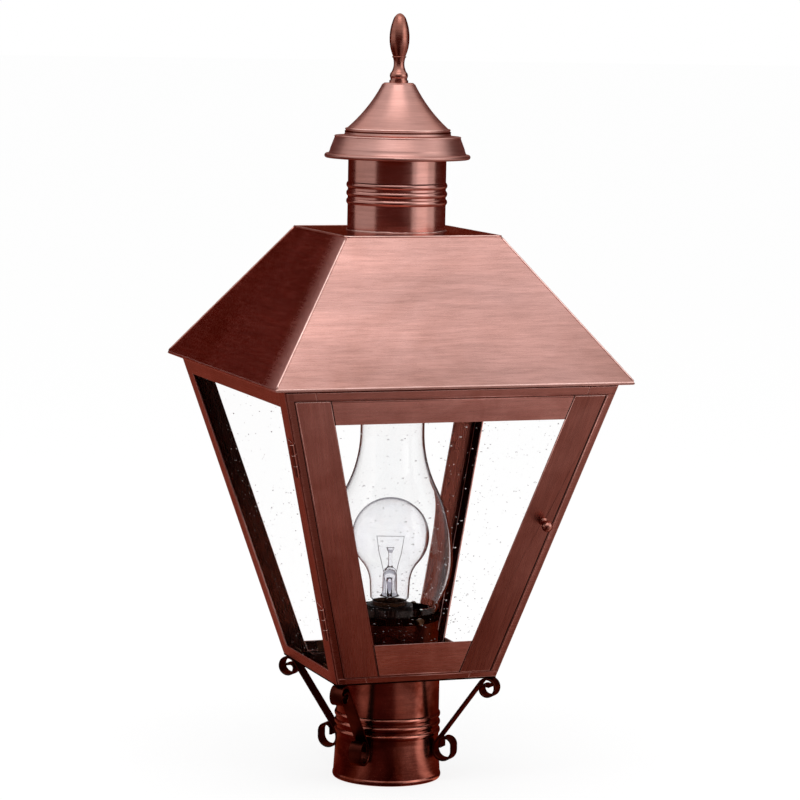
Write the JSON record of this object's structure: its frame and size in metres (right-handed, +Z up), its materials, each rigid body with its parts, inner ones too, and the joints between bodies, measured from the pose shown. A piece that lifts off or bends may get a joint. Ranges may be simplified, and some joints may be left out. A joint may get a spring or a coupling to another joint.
{
  "type": "post lamp",
  "caption": "Tapered square post lantern with a hip roof, vented cap and finial, a hinged glazed door, a bulb in a glass chimney, scroll braces and a sleeve that fits over a round post.",
  "frame": {"origin": "centre of the post sleeve's bottom rim", "axes": "+Z up along the sleeve's axis; the door faces -Y; its hinges are on the -X side"},
  "size_m": [0.2746, 0.2746, 0.5783],
  "materials": {
    "antique_copper": "brushed antique copper over sheet brass",
    "seeded_glass": "clear with seed bubbles",
    "clear_glass": "clear",
    "zinc_steel": "zinc plated",
    "plain_brass": "plain",
    "porcelain": "glazed",
    "bushing_plastic": "moulded",
    "cap_aluminium": "bright",
    "black_insulator": "fused",
    "lead_wire": "drawn",
    "filament_wire": "drawn"
  },
  "bodies": {
    "lantern": {"bottom_rails": "antique_copper", "chimney_gallery": "antique_copper", "corner_post_back_left": "antique_copper", "corner_post_back_right": "antique_copper", "corner_post_front_left": "antique_copper", "corner_post_front_right": "antique_copper", "finial": "antique_copper", "fitter_sleeve": "antique_copper", "floor_pan": "antique_copper", "gallery_screws": "plain_brass", "glass_back": "seeded_glass", "glass_clips": "plain_brass", "glass_left": "seeded_glass", "glass_right": "seeded_glass", "hinge_pins": "antique_copper", "hinge_post_leaves": "antique_copper", "lampholder_body": "porcelain", "lampholder_contact": "plain_brass", "lampholder_shell": "plain_brass", "nipple_locknut": "zinc_steel", "roof_panel_back": "antique_copper", "roof_panel_front": "antique_copper", "roof_panel_left": "antique_copper", "roof_panel_right": "antique_copper", "roof_top_plate": "antique_copper", "scroll_brace_back_left": "antique_copper", "scroll_brace_back_right": "antique_copper", "scroll_brace_front_left": "antique_copper", "scroll_brace_front_right": "antique_copper", "set_screw_bosses": "antique_copper", "set_screws": "zinc_steel", "socket_cup": "antique_copper", "top_rails": "antique_copper", "vent_bridge": "zinc_steel", "vent_cap": "antique_copper", "vent_nuts": "zinc_steel", "vent_rod": "zinc_steel", "vent_stack": "antique_copper", "wire_bushing": "bushing_plastic", "wiring_nipple": "zinc_steel"},
    "door": {"door_frame": "antique_copper", "door_glass": "seeded_glass", "door_glass_clips": "plain_brass", "door_rail_bottom": "antique_copper", "door_rail_top": "antique_copper", "door_stile_left": "antique_copper", "door_stile_right": "antique_copper", "hinge_door_leaves": "antique_copper"},
    "latch": {"latch_knob": "antique_copper", "latch_nut": "zinc_steel", "latch_tongue": "plain_brass"},
    "chimney": {"glass_chimney": "clear_glass"},
    "bulb": {"bulb_cap": "cap_aluminium", "bulb_contact": "plain_brass", "bulb_envelope": "clear_glass", "bulb_filament": "filament_wire", "bulb_insulator": "black_insulator", "bulb_leads": "lead_wire", "bulb_stem": "clear_glass"}
  },
  "joints": [
    {"name": "door_hinge", "type": "hinge", "parent": "lantern", "child": "door", "pos_m": [-0.07888, -0.07888, 0.13446], "axis": [0.2682, 0.2682, -0.9253], "range_deg": [0, 105]},
    {"name": "latch_turn", "type": "hinge", "parent": "door", "child": "latch", "pos_m": [0.08236, -0.09896, 0.2089], "axis": [0, -0.9605, -0.2784], "range_deg": [0, 90]},
    {"name": "chimney_lift", "type": "slide", "parent": "lantern", "child": "chimney", "axis": [0, 0, 1], "range_m": [0, 0.03]},
    {"name": "bulb_lift", "type": "slide", "parent": "lantern", "child": "bulb", "axis": [0, 0, 1], "range_m": [0, 0.026]}
  ]
}
